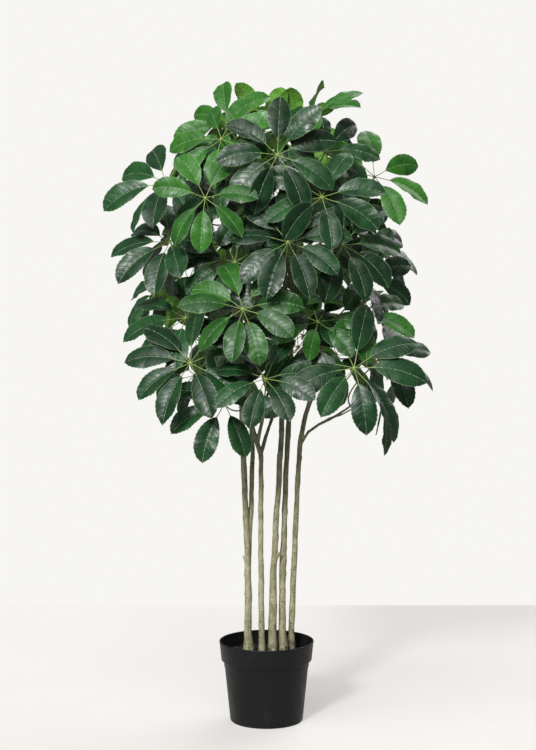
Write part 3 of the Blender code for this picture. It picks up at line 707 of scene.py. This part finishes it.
def rounded(corners, radius, steps):
    """A profile with its corners rounded. Each corner is (radius, height, share of the rounding)."""
    line = [corners[0][:2]]
    for before, here, after in zip(corners, corners[1:], corners[2:]):
        here, share = np.array(here[:2]), here[2]
        arm_in, arm_out = np.array(before[:2]) - here, np.array(after[:2]) - here
        cut = min(radius * share, np.linalg.norm(arm_in) * 0.45, np.linalg.norm(arm_out) * 0.45)
        start, end = here + unit(arm_in) * cut, here + unit(arm_out) * cut
        for t in np.linspace(0, 1, steps):
            line.append(tuple((1 - t) ** 2 * start + 2 * t * (1 - t) * here + t * t * end))
    return [*line, corners[-1][:2]]


# ---------------------------------------------------------------- settings


def colour(name, text, value):
    return FloatVectorProperty(
        name=name, description=text, subtype="COLOR", size=3, min=0, max=1, default=value
    )


def size(name, text, value):
    return FloatProperty(
        name=name, description=text, subtype="DISTANCE", unit="LENGTH", precision=5, default=value
    )


def amount(name, text, value, low, high):
    return FloatProperty(name=name, description=text, default=value, min=low, max=high)


def count(name, text, value, low, high):
    return IntProperty(name=name, description=text, default=value, min=low, max=high)


class PotSettings(bpy.types.PropertyGroup):
    height: size("Height", "Height of the pot", POT_HIGH.z - POT_LOW.z)
    rim: size("Rim radius", "Outer radius of the pot at its rim", (POT_HIGH.x - POT_LOW.x) / 2)
    base: size("Base radius", "Outer radius of the pot at its base", 0.0838)
    collar: size("Collar", "Depth of the collar below the rim", 0.0445)
    step: size("Step", "How far the collar stands out from the wall below it", 0.0055)
    taper: size("Taper", "How much narrower the collar is at its foot than at the rim", 0.0045)
    wall: size("Wall", "Thickness of the wall", 0.0025)
    holes: count("Drain holes", "Number of drain holes in the base", 6, 0, 16)
    sides: count("Sides", "Facets round the pot", 144, 24, 512)
    roughness: amount("Roughness", "Least roughness of the plastic", 0.42, 0, 1)
    colour: colour("Colour", "Colour of the plastic", (0.0036, 0.0036, 0.0040))


class MixSettings(bpy.types.PropertyGroup):
    crumbs: count("Crumbs", "Number of loose crumbs and chips", 1100, 0, 5000)
    crumb: size("Crumb size", "Usual size of a crumb", 0.0030)
    lump: size("Lumps", "Height of the lumps in the surface", 0.0026)
    dark: colour("Peat", "Colour of the peat", (0.0070, 0.0055, 0.0045))
    chip: colour("Chips", "Colour of the bark chips", (0.040, 0.028, 0.018))


class StemSettings(bpy.types.PropertyGroup):
    skin: size("Grain of the skin", "Size of the facets the bark is modelled with", 0.0015)
    smoothing: count("Smoothing", "Rounds of smoothing before the bark is raised", 14, 0, 60)
    lump: size("Lumps", "Height of the broad lumps", 0.0008)
    ripple: size("Ripples", "Height of the fine ripples", 0.00030)
    knot: size("Knots", "Height of the knots and leaf scars", 0.0011)
    foot: size("Foot", "How far each stem spreads where it leaves the mix", 0.0021)
    sway: size("Sway", "How far a stem strays from its smooth curve", 0.0014)
    light: colour("Light bark", "Colour of the lightest bark", (0.285, 0.272, 0.168))
    middle: colour("Bark", "Usual colour of the bark", (0.170, 0.162, 0.090))
    dark: colour("Dark bark", "Colour of the darkest bark", (0.072, 0.070, 0.036))
    upper: colour("Upper bark", "Colour of the younger bark near the crown", (0.100, 0.112, 0.066))


class LeafSettings(bpy.types.PropertyGroup):
    breadth: amount("Breadth", "Width of a leaflet as a share of its planned width", 1.07, 0.5, 1.3)
    roll: amount("Roll", "The most a leaflet may turn about its midrib, in degrees", 30, 0, 60)
    teeth: count("Teeth", "Teeth along each edge of a leaflet", 12, 4, 40)
    tooth: size("Tooth", "Height of a tooth", 0.0013)
    veins: amount("Side veins", "Side veins along each half of a leaflet", 8.5, 0, 30)
    fold: amount("Fold", "Usual angle of each half of a leaflet above its midrib, in degrees", 19, 0, 45)
    arch: amount("Arch", "How far the halves curve down again towards the edge", 0.27, 0, 1)
    wave: size("Wave", "Height of the waves in the edge", 0.0021)
    puff: size("Quilting", "Rise of the blade between its side veins", 0.0008)
    thickness: size("Thickness", "Thickness of the blade at its midrib", 0.0006)
    stalk: amount("Leaflet stalk", "Diameter of a leaflet's stalk, in millimetres", 2.0, 0.5, 5)
    leafstalk: amount("Leafstalk", "Diameter of a leafstalk, in millimetres", 3.1, 1, 8)
    dark_deep: colour("Dark leaf, deep", "Deepest colour of a mature leaf", (0.0050, 0.0205, 0.0080))
    dark_fresh: colour("Dark leaf, fresh", "Lightest colour of a mature leaf", (0.0145, 0.0660, 0.0165))
    bright_deep: colour("Young leaf, deep", "Deepest colour of a young leaf", (0.0075, 0.0480, 0.0055))
    bright_fresh: colour("Young leaf, fresh", "Lightest colour of a young leaf", (0.0300, 0.1320, 0.0135))
    rib: colour("Midrib", "Colour of the midrib", (0.330, 0.420, 0.260))


class StageSettings(bpy.types.PropertyGroup):
    floor: size("Floor", "Half the side of the square floor", 1.27)
    light: amount("Key light", "Strength of the main light", 2.9, 0, 50)
    fill: amount("Soft light", "Strength of the light from all round", 0.20, 0, 50)
    gleam: amount("Gleam", "Strength of the small light that makes the leaves shine", 3.0, 0, 50)
    back: amount("Back light", "Strength of the light from behind", 1.9, 0, 50)


# ---------------------------------------------------------------- operators

CAMERA_PLACE = (0.0034, -3.8, 1.068)
CAMERA_DIP = 4.02  # degrees below level
CAMERA_LENS = 79.9  # millimetres


class MakePot(bpy.types.Operator):
    """Turn the nursery pot and drill its drain holes"""

    bl_idname = "umbrella_plant.make_pot"
    bl_label = "Pot"

    def execute(self, context):
        look = context.scene.plant_pot
        top, seat, wall = look.height, look.height - look.collar, look.wall
        collar = look.rim - look.taper
        shoulder = collar - look.step

        def outer(z):
            return look.base + (shoulder - look.base) * z / seat

        bead = seat - 0.016
        corners = [
            (0, wall + 0.0012, 0),
            (0.030, wall + 0.0010, 1),
            (0.034, wall, 1),
            (outer(wall) - wall, wall, 1),
            (shoulder - wall, seat - 0.001, 0.5),
            (collar - wall, seat + 0.0025, 0.5),
            (look.rim - wall, top - 0.004, 0.4),
            (look.rim - wall - 0.0003, top, 0.7),
            (look.rim + 0.0002, top, 0.8),
            (look.rim + 0.0002, top - 0.0042, 0.5),
            (look.rim - 0.0006, top - 0.0050, 0.3),
            (collar, seat, 0.8),
            (shoulder, seat - 0.0006, 0.6),
            (outer(bead) + 0.0006, bead + 0.0010, 0.3),
            (outer(bead) - 0.0006, bead, 0.3),
            (outer(0.003), 0.003, 0.6),
            (look.base - 0.0012, 0.0, 0.5),
            (look.base - 0.007, 0.0, 0.3),
            (look.base - 0.009, 0.0012, 0.3),
            (0, 0.0012, 0),
        ]
        skin = Skin()
        profile = rounded(corners, 0.0022, 4)
        turned(skin, profile, look.sides)
        pot = skin.make("nursery_pot", [moulded_plastic(look)], 35)
        cutters = []
        for i in range(look.holes):
            angle = 2 * math.pi * (i + 0.5) / look.holes
            hole = Skin()
            ring = 0.052
            centre = np.array([ring * math.cos(angle), ring * math.sin(angle), -0.01])
            hole.tube([centre, centre + [0, 0, 0.01], centre + [0, 0, 0.02]], 0.005, 28, 0, (0, 0, 1, 1))
            cutter = hole.make(f"drain_{i + 1}", [])
            cut = pot.modifiers.new(cutter.name, "BOOLEAN")
            cut.operation, cut.object = "DIFFERENCE", cutter
            cutters.append(cutter)
        apply_modifiers(pot)
        for cutter in cutters:
            bpy.data.objects.remove(cutter)
        settle(pot, "pot")
        return {"FINISHED"}


class MakeMix(bpy.types.Operator):
    """Fill the pot with lumpy potting mix and scatter crumbs on it"""

    bl_idname = "umbrella_plant.make_mix"
    bl_label = "Potting mix"

    def execute(self, context):
        look = context.scene.plant_mix
        random = np.random.default_rng(MIX_SEED)
        edge = (SOIL_HIGH.x - SOIL_LOW.x) / 2
        crown = SOIL_HIGH.z - 0.004
        level = crown - 0.0055
        low = SOIL_LOW.z
        profile = [(0, low), (edge * 0.77, low), (edge * 0.905, 0.12), (edge * 0.955, 0.142)]
        profile += [(edge, level - 0.003)]
        profile += [(edge * share, level) for share in np.linspace(0.985, 0.03, 44)] + [(0, level)]
        skin = Skin()
        turned(skin, profile, 130, tint=0.4)
        points = np.concatenate(skin.points)

        def surface(x, y):
            out = np.hypot(x, y) / edge
            spots = np.stack([x, y, np.zeros_like(x)], -1)
            rise = lumps(spots, 60, 3.1) + 0.55 * lumps(spots, 170, 9.7) + 0.3 * lumps(spots, 420, 1.3)
            return level + (crown - level) * (1 - out**2) + look.lump * rise

        upper = points[:, 2] > level - 0.001
        points[upper, 2] = surface(points[upper, 0], points[upper, 1])
        skin.points = [points]

        ball = bmesh.new()
        bmesh.ops.create_icosphere(ball, subdivisions=1, radius=1)
        knob = np.array([v.co for v in ball.verts])
        sides = [[v.index for v in face.verts] for face in ball.faces]
        ball.free()
        out = edge * np.sqrt(random.uniform(0, 0.985, look.crumbs))
        turn = random.uniform(0, 2 * math.pi, look.crumbs)
        x, y = out * np.cos(turn), out * np.sin(turn)
        z = surface(x, y)
        for spot in zip(x, y, z):
            scale = look.crumb * random.lognormal(-0.35, 0.5)
            stretch = np.array([1, random.uniform(0.45, 0.95), random.uniform(0.28, 0.8)])
            tilt = random.uniform(-0.7, 0.7, 2).tolist()
            spin = np.array(Euler([*tilt, random.uniform(0, 6.3)]).to_matrix())
            crumb = knob * (1 + random.uniform(-0.28, 0.28, (len(knob), 1))) * stretch * min(scale, 0.0058)
            first = skin.put(crumb @ spin.T + spot, tint=random.uniform() ** 1.7)[0]
            skin.faces += [[int(first) + i for i in side] for side in sides]
            skin.uvs.append(np.zeros((3 * len(sides), 2)))
            skin.slots += [0] * len(sides)
        mix = skin.make("potting_mix_crumbs", [crumbly_mix(look)], 60)
        mix.data.uv_layers.remove(mix.data.uv_layers["OFBake"])
        settle(mix, "potting_mix")
        return {"FINISHED"}


class MakeStems(bpy.types.Operator):
    """Raise the bark, knots and leaf scars of the five stems"""

    bl_idname = "umbrella_plant.make_stems"
    bl_label = "Stems"

    def execute(self, context):
        look = context.scene.plant_stems
        material = bark(look)
        for name in STEM_NAMES:
            add_stem(name, look, material)
        return {"FINISHED"}


class MakeLeaves(bpy.types.Operator):
    """Grow every leaf: its leafstalk, its hub and its toothed leaflets"""

    bl_idname = "umbrella_plant.make_leaves"
    bl_label = "Leaves"

    def execute(self, context):
        look = context.scene.plant_leaves
        rib = tuple(look.rib)
        stalks = leaf_stalks("leaf_stalks", (0.180, 0.260, 0.060), (0.052, 0.050, 0.026))
        uppers = {
            "leaf_dark": (tuple(look.dark_deep), tuple(look.dark_fresh), rib, 0.25),
            "leaf_bright": (tuple(look.bright_deep), tuple(look.bright_fresh), rib, 0.29),
        }
        # Underside colours: paler than the upper sides, and painted brighter for the light that shines
        # through a leaf.
        unders_painted_bright = {
            "leaf_dark": ((0.028, 0.078, 0.020), (0.060, 0.150, 0.030), rib),
            "leaf_bright": ((0.075, 0.240, 0.016), (0.140, 0.380, 0.028), rib),
        }
        finishes = {}
        for slot in uppers:
            upper = leaf_upper(slot + "_upper", *uppers[slot])
            under = leaf_under(slot + "_under", *unders_painted_bright[slot])
            finishes[slot] = [upper, under, stalks]
        for name in LEAF_NAMES:
            add_leaf(name, look, finishes[SLOT_OF[name]])
        return {"FINISHED"}


class MakeStage(bpy.types.Operator):
    """Set a pale floor that glows a little, soft studio lights and the camera"""

    bl_idname = "umbrella_plant.make_stage"
    bl_label = "Stage"

    def execute(self, context):
        look = context.scene.plant_stage
        scene = context.scene
        sheet = bmesh.new()
        bmesh.ops.create_grid(sheet, x_segments=8, y_segments=8, size=look.floor)
        data = bpy.data.meshes.new("studio_floor")
        sheet.to_mesh(data)
        sheet.free()
        finish = Finish("glowing_floor_paint", Specular_IOR_Level=0.2)
        pale = finish.blend(finish.noise(3.0, 3.0), (0.350, 0.340, 0.326), (0.376, 0.366, 0.352))
        rough = finish.fade(finish.noise(40), 0, 1, 0.7, 0.85)
        # Painted light: the floor glows with a little light of its own, which pales the shadows cast on it.
        floor_glow = (0.300, 0.294, 0.285)
        finish.finish(Base_Color=pale, Roughness=rough, Emission_Color=floor_glow, Emission_Strength=1.0)
        data.materials.append(finish.material)
        floor = add_piece("studio_floor", data)

        world = bpy.data.worlds.new("studio")
        world.use_nodes = True
        nodes, links = world.node_tree.nodes, world.node_tree.links
        soft = nodes["Background"]
        soft.inputs["Color"].default_value = (1.0, 0.99, 0.975, 1)
        soft.inputs["Strength"].default_value = look.fill
        shown = nodes.new("ShaderNodeBackground")
        shown.inputs["Color"].default_value = (0.93, 0.92, 0.895, 1)
        path = nodes.new("ShaderNodeLightPath")
        mix = nodes.new("ShaderNodeMixShader")
        links.new(path.outputs["Is Camera Ray"], mix.inputs[0])
        links.new(soft.outputs[0], mix.inputs[1])
        links.new(shown.outputs[0], mix.inputs[2])
        links.new(mix.outputs[0], nodes["World Output"].inputs["Surface"])
        scene.world = world
        scene.view_settings.view_transform = "Standard"

        def sun(name, strength, spread, toward):
            lamp = bpy.data.lights.new(name, "SUN")
            lamp.energy, lamp.angle = strength, math.radians(spread)
            lit = add_piece(name, lamp)
            lit.rotation_euler = Vector(toward).to_track_quat("-Z", "Y").to_euler()

        sun("key_light", look.light, 62, (0.35, 0.85, -0.90))
        sun("gleam_light", look.gleam, 9, (0.42, 1.0, -0.62))
        sun("back_light", look.back, 50, (-0.45, -0.75, -0.75))

        lens = bpy.data.cameras.new("camera")
        lens.lens = CAMERA_LENS
        lens.clip_end = 200
        camera = add_piece("camera", lens)
        camera.location = CAMERA_PLACE
        camera.rotation_euler = (math.radians(90 - CAMERA_DIP), 0, 0)
        scene.camera = camera
        return {"FINISHED"}


MAKERS = (MakePot, MakeMix, MakeStems, MakeLeaves, MakeStage)


class PlantPanel(bpy.types.Panel):
    """The plant's pieces, in the order in which they are made"""

    bl_idname = "VIEW3D_PT_umbrella_plant"
    bl_label = "Umbrella Plant"
    bl_space_type = "VIEW_3D"
    bl_region_type = "UI"
    bl_category = "Umbrella Plant"

    def draw(self, context):
        for maker, settings in zip(MAKERS, SETTINGS):
            box = self.layout.box()
            box.operator(maker.bl_idname)
            group = getattr(context.scene, settings)
            for name in group.bl_rna.properties.keys():
                if name not in ("rna_type", "name"):
                    box.prop(group, name)


SETTINGS = {
    "plant_pot": PotSettings,
    "plant_mix": MixSettings,
    "plant_stems": StemSettings,
    "plant_leaves": LeafSettings,
    "plant_stage": StageSettings,
}


def register():
    for group in (*SETTINGS.values(), *MAKERS, PlantPanel):
        bpy.utils.register_class(group)
    for name, group in SETTINGS.items():
        setattr(bpy.types.Scene, name, PointerProperty(type=group))


def unregister():
    for name in SETTINGS:
        delattr(bpy.types.Scene, name)
    for group in (PlantPanel, *reversed(MAKERS), *reversed(SETTINGS.values())):
        bpy.utils.unregister_class(group)


def main():
    register()
    bpy.ops.umbrella_plant.make_pot()
    bpy.ops.umbrella_plant.make_mix()
    bpy.ops.umbrella_plant.make_stems()
    bpy.ops.umbrella_plant.make_leaves()
    bpy.ops.umbrella_plant.make_stage()


if __name__ == "__main__":
    main()
